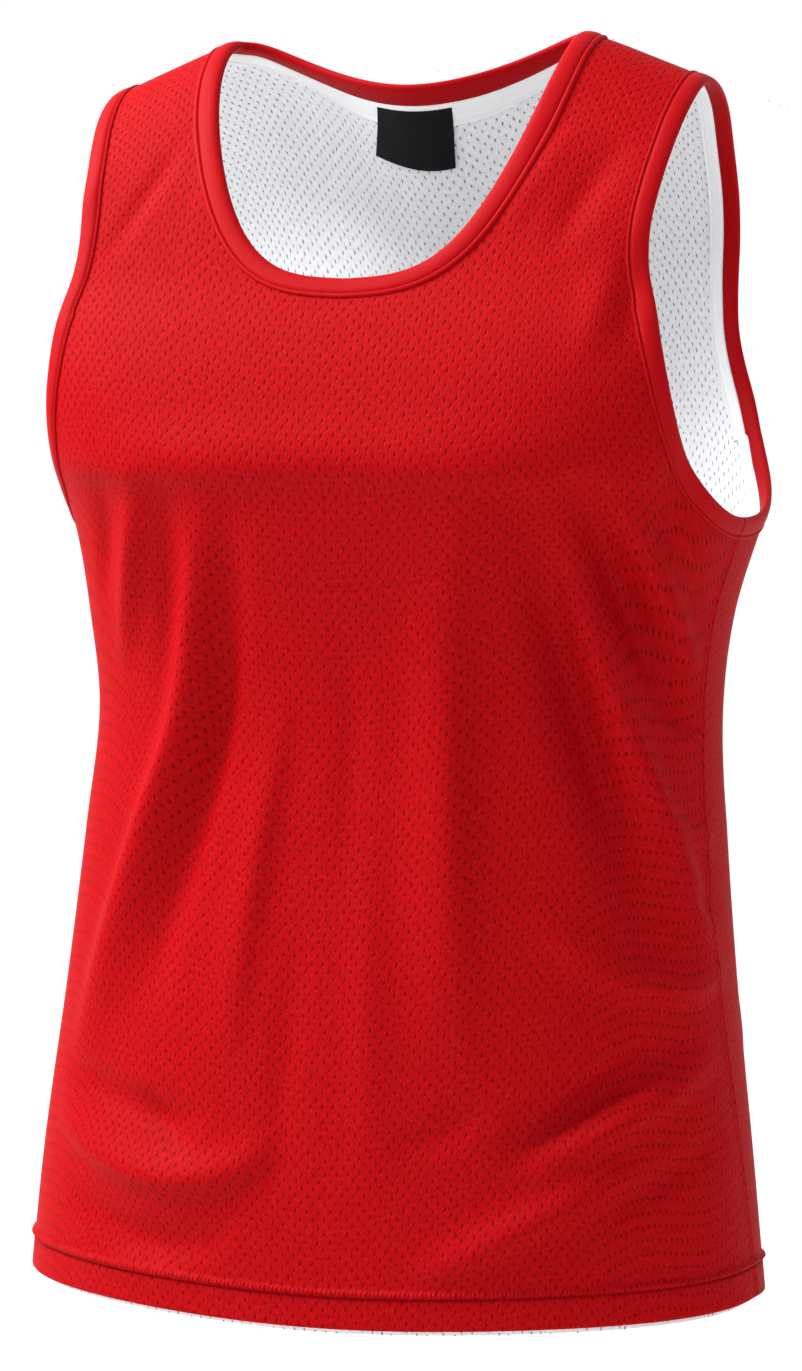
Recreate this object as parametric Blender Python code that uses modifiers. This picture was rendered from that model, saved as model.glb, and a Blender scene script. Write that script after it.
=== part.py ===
"""Reversible sleeveless mesh jersey, filled out as on a figure, hollow, with nobody in it.

Metres, +Z up. The front faces -Y and the wearer's left side is at +X. The origin lies between the
shoulders, where the figure carries the jersey.

A point of the cloth is given by its angle round the body (0 at the middle of the front, 90 at +X,
180 at the middle of the back) and its drop, the way down the cloth from the shoulder line.
"""

import math
from collections import namedtuple

import bmesh
import bpy
import numpy as np

MM = 0.001

# The body of the jersey, one row for each level. Sizes in millimetres, seam in degrees:
# half_width is to the side, front and back are the depths either way from the shoulder line,
# square is the exponent of the outline (2 is an ellipse), sway moves the level along X, seam is
# the angle of the side seam and nape is how far the middle of the back comes forward.
Level = namedtuple("Level", "height half_width front back square sway seam nape")
LEVELS = [
    Level(-720, 220, 119, 118, 2.25, -13, 91, 0),
    Level(-620, 210, 116, 114, 2.25, -12, 89, 0),
    Level(-520, 197, 112, 106, 2.3, -9, 86, 0),
    Level(-430, 188, 106, 95, 2.3, -6, 84, 0),
    Level(-365, 183, 104, 88, 2.3, -3, 84, 0),
    Level(-310, 188, 112, 91, 2.35, -2, 84, 0),
    Level(-260, 198, 125, 99, 2.5, 2.5, 85, 0),
    Level(-225, 207, 131, 104, 2.9, 3.5, 85, 3),
    Level(-190, 213, 125, 108, 3.5, 2, 85, 10),
    Level(-155, 216.5, 112, 110, 3.8, -0.5, 85, 21),
    Level(-120, 219.5, 94, 108, 4.0, -2, 85, 31),
    Level(-80, 220.5, 81, 102, 4.0, -2, 85, 35),
    Level(-40, 221, 71, 92, 4.0, -2, 85, 32),
    Level(20, 220, 62, 78, 4.0, -1.5, 85, 6),
]
NAPE_HALF = 85 * MM
NAPE_DROP = 40 * MM

# The largest folds, one row each. A fold runs from (angle, height) to (to_angle, to_height),
# bows sideways by bend at its middle and fades out at both ends. A positive depth is a ridge and
# a negative one a trough. Angles in degrees, the rest in millimetres.
Fold = namedtuple("Fold", "angle height to_angle to_height bend width depth")
FOLDS = [
    Fold(-29, -225, -66, -560, 0, 20, 8.0),
    Fold(-22, -235, -47, -520, 0, 17, -6.0),
    Fold(-42, -215, -63, -335, 0, 13, 5.0),
    Fold(-19, -350, -25, -550, 0, 18, 3.0),
    Fold(30, -215, 37, -560, 0, 26, 5.0),
    Fold(38, -235, 70, -500, -14, 17, -7.0),
    Fold(48, -270, 84, -500, 0, 11, 5.5),
    Fold(46, -225, 82, -375, 0, 14, -7.0),
    Fold(54, -235, 81, -340, 0, 11, 5.5),
    Fold(-68, -555, -18, -592, 8, 14, -4.0),
    Fold(-70, -590, -10, -602, 28, 14, 7.0),
    Fold(-68, -622, -14, -650, 14, 16, -5.0),
    Fold(50, -468, 90, -505, 22, 12, 5.0),
    Fold(46, -600, 78, -530, 0, 12, -5.0),
    Fold(50, -606, 84, -538, 0, 11, 5.0),
    Fold(30, -665, 72, -600, 6, 13, 4.5),
    Fold(118, -340, 134, -640, 0, 20, 6.0),
    Fold(150, -170, 139, -450, 0, 22, 5.0),
    Fold(181, -280, 178, -600, 0, 26, -4.5),
    Fold(211, -180, 224, -460, 0, 20, 5.5),
    Fold(243, -330, 228, -650, 0, 19, 6.5),
    Fold(152, -395, 212, -410, 14, 14, 4.0),
    Fold(258, -290, 262, -470, 0, 12, -4.0),
    Fold(104, -300, 101, -430, 0, 12, -4.0),
]
GIRTH_PER_DEGREE = 2.96 * MM

# Shoulders: the ridge that the cloth hangs from.
RIDGE_Y = 12 * MM
NECK_HALF = 102.5 * MM
TIP_HALF = 176 * MM
NECK_RIDGE_Z = 15 * MM
TIP_RIDGE_Z = -14.5 * MM
MIDDLE_RIDGE_Z = -9.5 * MM
LEFT_LOWER = 0.008
NECK_ROUNDING = 140 * MM
TIP_ROUNDING = 90 * MM

# Beside the neck the cloth sags below the shoulder line. The sag fades between two drops, and it
# starts softly over a share of the neck's half width.
NECK_SAG = 72 * MM
SAG_FROM_DROP = 32 * MM
SAG_TO_DROP = 120 * MM
SAG_SOFTNESS = 0.06

# How the form is worked out: the first guess of the drop above the flat part of the cloth, and how
# often a guess is bettered, which settles it to a hundredth of a millimetre.
FIRST_DROP = 50 * MM
FORM_ROUNDS = 24
HALVINGS = 24
WELD = 0.01 * MM

# The cut edges.
FRONT_NECK_Z = -127 * MM
BACK_NECK_Z = -14.3 * MM
UNDERARM_Z = -257 * MM
HEM_SIDE_Z = -686.5 * MM
HEM_FRONT_FALL = 12 * MM
HEM_BACK_FALL = 6 * MM

# What differs between the front and the back panel: the middle of the panel, the neck's height and
# exponents across and down, how much of the shoulder line's rise the neck makes up for, and the
# armhole. The armhole comes in to inner_angle from the side seam at inner_drop,
# lead_in sets how late it does, and lower_power is the exponent of its lower curve. yoke_drop is
# the drop of the strap's foot at the armhole.
Panel = namedtuple(
    "Panel",
    "middle neck_z neck_power neck_depth neck_round inner_angle inner_drop lead_in lower_power yoke_drop",
)
FRONT = Panel(0, FRONT_NECK_Z, 2.7, 3.0, 1.05, 28.2, 208 * MM, 1.3, 2.0, 110 * MM)
BACK = Panel(180, BACK_NECK_Z, 2.0, 2.0, 0.0, 31.5, 190 * MM, 1.0, 2.0, 50 * MM)

# Walls and seams. Offsets are from the middle of the outer layer's wall, outward positive.
WALL = 1.0 * MM
INNER_OFFSET = -2.0 * MM
SEAM_GAP = 0.3 * MM
SHOULDER_GAP_DROP = 0.35 * MM
EDGE_GAP = 0.9 * MM
BINDING_WIDTH = 11 * MM
BINDING_WALL = 3.4 * MM
BINDING_OFFSET = -0.7 * MM
BAND_WIDTH = 6 * MM
BAND_WALL = 1.4 * MM
BAND_OFFSET = -2.3 * MM
OUTER_BORDER = BINDING_WIDTH + EDGE_GAP
BAND_START = OUTER_BORDER
BAND_END = BAND_START + BAND_WIDTH
CORE_BORDER = BAND_END + EDGE_GAP
INNER_HEM_EXTRA = 3.5 * MM
LABEL_WIDTH = 46 * MM
LABEL_HEIGHT = 40 * MM
LABEL_WALL = 0.8 * MM
LABEL_OFFSET = -3.5 * MM
LABEL_DROP = 1 * MM

# Cells across and along the cloth.
STRAP_COLUMNS = 4
NECK_COLUMNS = 12
SIDE_ROWS = 10
ARMHOLE_ROWS = {FRONT: 7, BACK: 9}
STRAP_ROWS = {FRONT: 6, BACK: 4}
LABEL_COLUMNS = 6
LABEL_ROWS = 4
NECK_SAMPLES = 61
ARMHOLE_SAMPLES = 40

RED = (0.60, 0.010, 0.016, 1.0)
WHITE = (0.80, 0.81, 0.83, 1.0)
BLACK = (0.010, 0.010, 0.011, 1.0)


def level_value(name, height):
    """One column of the level table at a height, as a smooth curve through the rows."""
    heights = np.array([level.height * MM for level in LEVELS])
    values = np.array([getattr(level, name) for level in LEVELS], dtype=float)
    before = np.maximum(np.arange(len(LEVELS)) - 1, 0)
    after = np.minimum(np.arange(len(LEVELS)) + 1, len(LEVELS) - 1)
    slopes = (values[after] - values[before]) / (heights[after] - heights[before])
    height = np.clip(height, heights[0], heights[-1])
    low = np.clip(np.searchsorted(heights, height) - 1, 0, len(LEVELS) - 2)
    span = heights[low + 1] - heights[low]
    s = (height - heights[low]) / span
    return (
        values[low] * (2 * s**3 - 3 * s**2 + 1)
        + slopes[low] * span * (s**3 - 2 * s**2 + s)
        + values[low + 1] * (3 * s**2 - 2 * s**3)
        + slopes[low + 1] * span * (s**3 - s**2)
    )


def section(angle, height):
    """How far the jersey reaches sideways and forward at an angle and a height."""
    side = np.sin(np.radians(angle))
    ahead = np.cos(np.radians(angle))
    half_width = level_value("half_width", height) * MM
    front = level_value("front", height) * MM
    back = level_value("back", height) * MM
    depth = np.where(ahead > 0, front, back)
    power = level_value("square", height)
    reach = (abs(side / half_width) ** power + abs(ahead / depth) ** power) ** (-1 / power)
    return reach * side, reach * ahead


def ridge_height(x):
    """The height of the shoulder line: it slopes to the tips and dips behind the neck."""
    slope = (TIP_RIDGE_Z - NECK_RIDGE_Z) / (TIP_HALF - NECK_HALF)
    out = abs(x) - NECK_HALF
    s = np.minimum(abs(x) / NECK_HALF, 1)
    dip = (
        MIDDLE_RIDGE_Z * (2 * s**3 - 3 * s**2 + 1)
        + NECK_RIDGE_Z * (3 * s**2 - 2 * s**3)
        + slope * NECK_HALF * (s**3 - s**2)
    )
    return np.where(out > 0, NECK_RIDGE_Z + slope * out, dip) - LEFT_LOWER * x


def neck_sag(x, drop):
    """How far the cloth beside the neck lies below the shoulder line."""
    s = abs(x) / NECK_HALF
    within = np.clip((1 - s) / SAG_SOFTNESS, -30, 30)
    inside = SAG_SOFTNESS * np.log1p(np.exp(within))
    fade = np.clip((SAG_TO_DROP - drop) / (SAG_TO_DROP - SAG_FROM_DROP), 0, 1)
    return NECK_SAG * s**2 * inside * fade**2 * (3 - 2 * fade)


def rounding(x):
    """The radius with which the cloth turns down from the shoulder line."""
    out = np.clip((abs(x) - NECK_HALF) / (TIP_HALF - NECK_HALF), 0, 1)
    return NECK_ROUNDING + (TIP_ROUNDING - NECK_ROUNDING) * out


def smooth_form(angle, drop):
    """Points of the jersey without its folds."""
    angle, drop = np.broadcast_arrays(np.asarray(angle, float), np.asarray(drop, float))
    height = -np.maximum(drop - FIRST_DROP, 0)
    for _ in range(FORM_ROUNDS):
        x, ahead = section(angle, height)
        radius = rounding(x)
        turn = np.clip(drop / radius, -math.pi / 2, math.pi / 2)
        fall = radius * (1 - np.cos(turn)) + np.maximum(drop - radius * math.pi / 2, 0)
        height = 0.5 * height + 0.5 * (ridge_height(x) - neck_sag(x, drop) - fall)
    s = np.clip(drop / NAPE_DROP, 0, 1)
    nape = level_value("nape", height) * MM * np.exp(-((x / NAPE_HALF) ** 2)) * s * s * (3 - 2 * s)
    y = RIDGE_Y - ahead * np.sin(turn) - np.where(ahead < 0, nape, 0)
    x = x + level_value("sway", height) * MM
    return np.stack([x, y, height], axis=-1)


def drop_at(angle, height):
    """The drop at which the cloth reaches a height."""
    x, _ = section(angle, height)
    radius = rounding(x)
    fall = ridge_height(x) - height
    curved = radius * np.arccos(np.clip(1 - fall / radius, -1, 1))
    return np.where(fall < radius, curved, radius * math.pi / 2 + fall - radius)


def directions(angle, drop):
    """How a point moves for each degree and each metre of drop, and the outward normal."""
    step_angle = 0.2
    step_drop = 0.5 * MM
    around = smooth_form(angle + step_angle, drop) - smooth_form(angle - step_angle, drop)
    down = smooth_form(angle, drop + step_drop) - smooth_form(angle, drop - step_drop)
    around = around / (2 * step_angle)
    down = down / (2 * step_drop)
    normal = np.cross(down, around)
    return around, down, normal / np.linalg.norm(normal, axis=-1, keepdims=True)


def relief(angle, height):
    """How far the folds stand out of the smooth form."""
    total = np.zeros(np.shape(height))
    for fold in FOLDS:
        run = (fold.to_angle - fold.angle) * GIRTH_PER_DEGREE
        rise = (fold.to_height - fold.height) * MM
        length = math.hypot(run, rise)
        across = ((angle - fold.angle + 180) % 360 - 180) * GIRTH_PER_DEGREE
        up = height - fold.height * MM
        along = (across * run + up * rise) / length**2
        bow = 4 * along * (1 - along)
        aside = (across * rise - up * run) / length - fold.bend * MM * bow
        fade = np.where(bow > 0, bow, 0) ** 1.5
        total += fold.depth * MM * fade * np.exp(-((aside / (fold.width * MM)) ** 2))
    return total


def cloth_points(angle, drop, offset):
    """Points of the draped cloth, moved out along its normal by offset."""
    base = smooth_form(angle, drop)
    _, _, normal = directions(angle, drop)
    return base + normal * (relief(angle, base[..., 2]) + offset)[..., None]


def angle_at(x, drop, panel):
    """The angles at which drop lines of one panel are x away from the middle, for x > 0."""
    low = np.full(np.shape(x), float(panel.middle))
    high = np.full(np.shape(x), 90.0)
    for _ in range(HALVINGS):
        middle = (low + high) / 2
        short = smooth_form(middle, drop)[..., 0] < x
        low = np.where(short, middle, low)
        high = np.where(short, high, middle)
    return (low + high) / 2


def even(points, cells):
    """The same line of (angle, drop) points cut into cells of equal length on the cloth."""
    points = np.array(points, dtype=float)
    places = smooth_form(points[:, 0], points[:, 1])
    walked = np.concatenate([[0], np.cumsum(np.linalg.norm(np.diff(places, axis=0), axis=1))])
    stops = np.linspace(0, walked[-1], cells + 1)
    return np.stack([np.interp(stops, walked, points[:, k]) for k in (0, 1)], axis=1)


def neck_line(panel):
    """Half of the neck's edge, from the shoulder to the middle of the panel."""
    lowest = float(drop_at(panel.middle, panel.neck_z))
    turn = np.linspace(0, math.pi / 2, NECK_SAMPLES)
    x = NECK_HALF * abs(np.cos(turn)) ** (2 / panel.neck_power)
    rise = ridge_height(x) - ridge_height(0.0)
    drop = lowest * np.sin(turn) ** (2 / panel.neck_depth) + panel.neck_round * rise * np.sin(turn) ** 2
    line = np.stack([angle_at(x, drop, panel), drop], axis=1)
    line[-1] = (panel.middle, lowest)
    return line


def armhole_line(panel):
    """One armhole's edge at +X, from the side seam up to the shoulder tip."""
    tip = float(angle_at(TIP_HALF, 0.0, panel))
    seam = float(level_value("seam", UNDERARM_Z))
    lowest = float(drop_at(seam, UNDERARM_Z))
    inner = 90 - panel.inner_angle if panel is FRONT else 90 + panel.inner_angle
    line = []
    for turn in np.linspace(math.pi / 2, 0, ARMHOLE_SAMPLES):
        out = math.cos(turn) ** (2 / panel.lower_power)
        down = math.sin(turn) ** (2 / panel.lower_power)
        line.append((seam + (inner - seam) * out, panel.inner_drop + (lowest - panel.inner_drop) * down))
    for part in np.linspace(1, 0, ARMHOLE_SAMPLES)[1:]:
        share = (1 - math.cos(math.pi * part**panel.lead_in)) / 2
        line.append((tip + (inner - tip) * share, panel.inner_drop * part))
    return line


def split_at(line, drop):
    """Cut an armhole line in two where it passes a drop on its way up."""
    cut = next(k for k, (_, here) in enumerate(line) if here < drop)
    return line[: cut + 1], line[cut:]


def edges(panel):
    """The panel's sewn edges at +X as even stations: lower and upper armhole, side and low neck."""
    lower, upper = split_at(armhole_line(panel), panel.yoke_drop)
    neck = even(neck_line(panel), STRAP_ROWS[panel] + NECK_COLUMNS // 2)
    return {
        "lower_armhole": even(lower, ARMHOLE_ROWS[panel]),
        "upper_armhole": even(upper, STRAP_ROWS[panel]),
        "side_neck": neck[: STRAP_ROWS[panel] + 1],
        "low_neck": neck[STRAP_ROWS[panel] :],
    }


def mirrored(line, panel):
    """The same line on the other side of the panel's middle."""
    return np.stack([2 * panel.middle - line[:, 0], line[:, 1]], axis=1)


def inset(line, distance, side):
    """Move a line of (angle, drop) points square to itself, over the cloth, by distance.

    An end on the shoulder line stays on it, and any other end moves straight down.
    """
    around, down, normal = directions(line[:, 0], line[:, 1])
    places = smooth_form(line[:, 0], line[:, 1])
    along = np.gradient(places, axis=0)
    inward = np.cross(normal, along) * side
    inward = inward / np.linalg.norm(inward, axis=1, keepdims=True) * distance
    moved = line.copy()
    for k in range(len(line)):
        basis = np.stack([around[k], down[k]], axis=1)
        moved[k] += np.linalg.lstsq(basis, inward[k], rcond=None)[0]
    for k in (0, -1):
        if line[k, 1] < SEAM_GAP:
            way = math.copysign(1, moved[k, 0] - line[k, 0])
            moved[k] = line[k, 0] + way * distance / np.linalg.norm(around[k]), line[k, 1]
        else:
            moved[k] = line[k, 0], line[k, 1] + distance / np.linalg.norm(down[k])
    return moved


def patch(bottom, top, left, right):
    """Fill four lines of (angle, drop) points with rows of cells, bottom row first."""
    u = np.linspace(0, 1, len(bottom))[None, :, None]
    v = np.linspace(0, 1, len(left))[:, None, None]
    ruled = (1 - v) * bottom[None] + v * top[None] + (1 - u) * left[:, None] + u * right[:, None]
    corners = (1 - v) * ((1 - u) * bottom[0] + u * bottom[-1]) + v * ((1 - u) * top[0] + u * top[-1])
    return ruled - corners


def joined(*lines):
    """Lines that meet end to end, as one."""
    return np.concatenate([lines[0]] + [line[1:] for line in lines[1:]])


def straight(start, end, cells):
    return np.linspace(start, end, cells + 1)


def sewn_lines(panel, border):
    """The panel's armhole and neck lines at +X, moved in by border, and clear of the other panel."""
    sign = 1 if panel is FRONT else -1
    line = edges(panel)
    armhole = inset(joined(line["lower_armhole"], line["upper_armhole"]), border, sign)
    neck = inset(joined(line["side_neck"], line["low_neck"]), border, sign)
    for sewn in (armhole, neck):
        sewn[:, 1] = np.maximum(sewn[:, 1], SHOULDER_GAP_DROP)
    armhole[0, 0] -= sign * SEAM_GAP / 2 / GIRTH_PER_DEGREE
    return armhole, neck


def core_patches(panel):
    """The panel inside its bands as three patches: the body, and the strap at +X and at -X."""
    sign = 1 if panel is FRONT else -1
    armhole, neck = sewn_lines(panel, CORE_BORDER)
    yoke = ARMHOLE_ROWS[panel]
    strap_rows = STRAP_ROWS[panel]
    low_armhole, high_armhole = armhole[: yoke + 1], armhole[yoke:]
    side_neck, low_neck = neck[: strap_rows + 1], neck[strap_rows:]

    heights = np.linspace(HEM_SIDE_Z, float(smooth_form(*armhole[0])[2]), SIDE_ROWS + 1)
    seam_angles = level_value("seam", heights) - sign * SEAM_GAP / 2 / GIRTH_PER_DEGREE
    side = np.stack([seam_angles, drop_at(seam_angles, heights)], axis=1)
    side[-1] = armhole[0]

    columns = 2 * STRAP_COLUMNS + NECK_COLUMNS
    hem_angles = np.linspace(2 * panel.middle - side[0, 0], side[0, 0], columns + 1)
    toward = np.cos(np.radians(hem_angles))
    fall = np.where(toward > 0, HEM_FRONT_FALL, HEM_BACK_FALL) * abs(toward)
    hem = np.stack([hem_angles, drop_at(hem_angles, HEM_SIDE_Z - fall)], axis=1)
    hem[0], hem[-1] = mirrored(side[:1], panel)[0], side[0]

    foot = straight(low_neck[0], low_armhole[-1], STRAP_COLUMNS)
    top = joined(mirrored(foot, panel)[::-1], mirrored(low_neck, panel), low_neck[::-1], foot)
    right = joined(side, low_armhole)
    body = patch(hem, top, mirrored(right, panel), right)
    shoulder = straight(side_neck[0], high_armhole[-1], STRAP_COLUMNS)
    strap = patch(foot, shoulder, side_neck[::-1], high_armhole)
    return [body, strap, mirrored_patch(strap, panel)]


def mirrored_patch(grid, panel):
    """The same patch on the other side of the panel's middle, its columns still left to right."""
    turned = grid[:, ::-1].copy()
    turned[..., 0] = 2 * panel.middle - turned[..., 0]
    return turned


def edge_strips(panel):
    """What the outer layer has past the core: one row of cells beside each sewn edge."""
    core_armhole, core_neck = sewn_lines(panel, CORE_BORDER)
    armhole, neck = sewn_lines(panel, OUTER_BORDER)
    beside_armhole = np.stack([core_armhole, armhole], axis=1)
    beside_neck = np.stack([neck, core_neck], axis=1)[::-1]
    strips = [beside_armhole, beside_neck]
    return strips + [mirrored_patch(strip, panel) for strip in strips]


def material(name, colour, roughness):
    made = bpy.data.materials.new(name)
    made.use_nodes = True
    shader = made.node_tree.nodes["Principled BSDF"]
    shader.inputs["Base Color"].default_value = colour
    shader.inputs["Roughness"].default_value = roughness
    shader.inputs["Metallic"].default_value = 0.0
    return made


def cloth_object(name, mesh, wall, finish, collection):
    """An open sheet given its wall, half to each side."""
    made = bpy.data.objects.new(name, mesh)
    collection.objects.link(made)
    mesh.materials.append(finish)
    thickness = made.modifiers.new("wall", "SOLIDIFY")
    thickness.thickness = wall
    thickness.offset = 0.0
    return made


def add_patch(bm, grid, offset):
    """Add one grid of (angle, drop) points to a mesh as a sheet of quads."""
    rows, columns = grid.shape[0] - 1, grid.shape[1] - 1
    points = cloth_points(grid[..., 0], grid[..., 1], offset)
    made = bmesh.ops.create_grid(bm, x_segments=columns, y_segments=rows, size=0.5)
    for vert in made["verts"]:
        column = round((vert.co.x + 0.5) * columns)
        row = round((vert.co.y + 0.5) * rows)
        vert.co = points[row, column]


def panel_object(name, patches, offset, finish, collection):
    bm = bmesh.new()
    for grid in patches:
        add_patch(bm, grid, offset)
    bmesh.ops.remove_doubles(bm, verts=bm.verts, dist=WELD)
    mesh = bpy.data.meshes.new(name)
    bm.to_mesh(mesh)
    bm.free()
    return cloth_object(name, mesh, WALL, finish, collection)


def ring(name, outer, inner, offset, wall, finish, collection):
    """A closed strip between two loops of (angle, drop) points."""
    stations = len(outer)
    loops = [cloth_points(line[:, 0], line[:, 1], offset) for line in (outer, inner)]
    bm = bmesh.new()
    made = bmesh.ops.create_cone(bm, cap_ends=False, segments=stations, radius1=1, radius2=2, depth=1)
    for vert in made["verts"]:
        station = round(math.atan2(vert.co.y, vert.co.x) / (2 * math.pi) * stations) % stations
        loop = 0 if vert.co.xy.length < 1.5 else 1
        vert.co = loops[loop][station]
    mesh = bpy.data.meshes.new(name)
    bm.to_mesh(mesh)
    bm.free()
    return cloth_object(name, mesh, wall, finish, collection)


def loop_insets(parts, distance):
    """Inset the lines of a loop and join them; each part is (line, side, reversed)."""
    lines = []
    for line, side, turned in parts:
        moved = inset(line, distance, side) if distance else line
        lines.append((moved[::-1] if turned else moved)[:-1])
    return np.concatenate(lines)


def neck_parts():
    front, back = (edges(side) for side in (FRONT, BACK))
    front_half = joined(front["side_neck"], front["low_neck"])
    back_half = joined(back["side_neck"], back["low_neck"])
    return [
        (front_half, 1, False),
        (mirrored(front_half, FRONT), -1, True),
        (mirrored(back_half, BACK), 1, False),
        (back_half, -1, True),
    ]


def armhole_parts(at_left):
    front, back = (edges(side) for side in (FRONT, BACK))
    front_line = joined(front["lower_armhole"], front["upper_armhole"])
    back_line = joined(back["lower_armhole"], back["upper_armhole"])
    if at_left:
        return [(front_line, 1, False), (back_line, -1, True)]
    return [(mirrored(front_line, FRONT), -1, False), (mirrored(back_line, BACK), 1, True)]


def edge_rings(name, parts, red, white, collection):
    """The red binding of an opening and the white band beside it on the inside."""
    cut, bound, band_start, band_end = (
        loop_insets(parts, distance)
        for distance in (0, BINDING_WIDTH, BAND_START, BAND_END)
    )
    ring(f"{name}_binding", cut, bound, BINDING_OFFSET, BINDING_WALL, red, collection)
    ring(f"{name}_band", band_start, band_end, BAND_OFFSET, BAND_WALL, white, collection)


def between(grid, row, column):
    """A point inside a cell of a grid of points, at fractional row and column."""
    i = min(int(row), len(grid) - 2)
    j = min(int(column), len(grid[0]) - 2)
    down, over = row - i, column - j
    near = grid[i, j] * (1 - over) + grid[i, j + 1] * over
    far = grid[i + 1, j] * (1 - over) + grid[i + 1, j + 1] * over
    return near * (1 - down) + far * down


def neck_label(body, finish, collection):
    """A woven label under the band at the middle of the back neck, made from the panel's points."""
    points = cloth_points(body[..., 0], body[..., 1], LABEL_OFFSET)
    last_row = len(points) - 1
    middle = (len(points[0]) - 1) / 2
    cell_width = np.linalg.norm(points[last_row, int(middle)] - points[last_row, int(middle) + 1])
    cell_height = np.linalg.norm(points[last_row, int(middle)] - points[last_row - 1, int(middle)])
    top = last_row - LABEL_DROP / cell_height
    bm = bmesh.new()
    made = bmesh.ops.create_grid(bm, x_segments=LABEL_COLUMNS, y_segments=LABEL_ROWS, size=0.5)
    for vert in made["verts"]:
        row = top - (vert.co.y + 0.5) * LABEL_HEIGHT / cell_height
        column = middle + vert.co.x * LABEL_WIDTH / cell_width
        vert.co = between(points, row, column)
    mesh = bpy.data.meshes.new("neck_label")
    bm.to_mesh(mesh)
    bm.free()
    return cloth_object("neck_label", mesh, LABEL_WALL, finish, collection)


def main():
    for old in list(bpy.data.objects):
        bpy.data.objects.remove(old, do_unlink=True)
    collection = bpy.data.collections.new("reversible_jersey")
    bpy.context.scene.collection.children.link(collection)
    red = material("red_mesh_cloth", RED, 0.7)
    white = material("white_mesh_cloth", WHITE, 0.8)
    black = material("black_woven_label", BLACK, 0.6)

    for name, side in (("front", FRONT), ("back", BACK)):
        core = core_patches(side)
        panel_object(f"{name}_outer", core + edge_strips(side), 0.0, red, collection)
        if side is BACK:
            neck_label(core[0], black, collection)
        core[0][0, :, 1] += INNER_HEM_EXTRA
        panel_object(f"{name}_inner", core, INNER_OFFSET, white, collection)
    edge_rings("neck", neck_parts(), red, white, collection)
    edge_rings("left_armhole", armhole_parts(True), red, white, collection)
    edge_rings("right_armhole", armhole_parts(False), red, white, collection)


main()
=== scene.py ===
import math
import bpy
import numpy as np
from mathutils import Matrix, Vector


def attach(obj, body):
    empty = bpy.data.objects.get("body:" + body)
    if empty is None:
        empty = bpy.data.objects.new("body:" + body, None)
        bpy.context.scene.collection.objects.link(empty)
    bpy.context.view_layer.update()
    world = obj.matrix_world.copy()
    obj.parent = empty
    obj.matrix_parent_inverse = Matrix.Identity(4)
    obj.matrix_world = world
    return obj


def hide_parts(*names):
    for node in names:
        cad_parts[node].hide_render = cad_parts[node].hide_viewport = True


# Reversible lacrosse jersey, red mesh outside and white mesh inside, filled out and hollow.
# Sizes in the dictionaries are millimetres and degrees unless a note says otherwise.
# A place on the cloth is an angle round the body (0 front, 90 wearer's left, 180 back)
# and a drop, the way down the cloth from the shoulder line.

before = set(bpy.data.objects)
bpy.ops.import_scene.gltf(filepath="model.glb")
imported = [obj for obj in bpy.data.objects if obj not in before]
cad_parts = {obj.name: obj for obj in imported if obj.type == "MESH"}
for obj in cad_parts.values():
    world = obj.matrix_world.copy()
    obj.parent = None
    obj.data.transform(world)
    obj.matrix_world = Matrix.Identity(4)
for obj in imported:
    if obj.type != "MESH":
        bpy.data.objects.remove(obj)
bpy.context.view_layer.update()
bpy.ops.object.select_all(action="DESELECT")
mm = 0.001


# The form of the worn jersey.

# height, half width, front depth, back depth, squareness, sway to the left, angle of the side seam,
# and how far the middle of the back comes forward to the nape
bodyLevels = [
    (-720, 220, 119, 118, 2.25, -13, 91, 0),
    (-620, 210, 116, 114, 2.25, -12, 89, 0),
    (-520, 197, 112, 106, 2.3, -9, 86, 0),
    (-430, 188, 106, 95, 2.3, -6, 84, 0),
    (-365, 183, 104, 88, 2.3, -3, 84, 0),
    (-310, 188, 112, 91, 2.35, -2, 84, 0),
    (-260, 198, 125, 99, 2.5, 2.5, 85, 0),
    (-225, 207, 131, 104, 2.9, 3.5, 85, 3),
    (-190, 213, 125, 108, 3.5, 2, 85, 10),
    (-155, 216.5, 112, 110, 3.8, -0.5, 85, 21),
    (-120, 219.5, 94, 108, 4.0, -2, 85, 31),
    (-80, 220.5, 81, 102, 4.0, -2, 85, 35),
    (-40, 221, 71, 92, 4.0, -2, 85, 32),
    (20, 220, 62, 78, 4.0, -1.5, 85, 6),
]

shoulders = {
    "ridgeBack": 12,          # how far behind the origin the shoulder line runs
    "neckHalf": 102.5,
    "tipHalf": 176,
    "neckHeight": 15,
    "tipHeight": -14.5,
    "middleHeight": -9.5,
    "leftLower": 0.008,       # how much the wearer's left shoulder hangs lower, for each millimetre out
    "neckRounding": 140,      # radius with which the cloth turns down, at the neck and at the tips
    "tipRounding": 90,
    "napeHalf": 85,           # how wide the middle of the back comes forward
    "napeDrop": 40,           # and over what drop it starts
    "sag": 72,                # how the cloth sags beside the neck, fading between two drops
    "sagFrom": 32,
    "sagTo": 120,
    "sagSoftness": 0.06,
}

hem = {
    "sideHeight": -686.5,
    "frontFall": 12,
    "backFall": 6,
    "depth": 17,              # from the folded edge up to the stitches
    "ridgeAbove": 0.9,        # the soft roll just above the stitches
    "ridgeWidth": 3.2,
    "ridgeRise": 2.1,
    "grooveDepth": 1.2,       # where the stitches pull in
    "grooveWidth": 0.6,
    "doubled": 0.25,          # how far the doubled cloth stands out below them
    "edgeRound": 1.6,         # over what height the folded edge turns under, and how far
    "edgeUnder": 0.75,
    "innerExtra": 3.5,        # how much lower the white layer hangs
    "innerBack": 6,           # and how far back, fading upwards
    "innerFade": 90,
}

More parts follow.
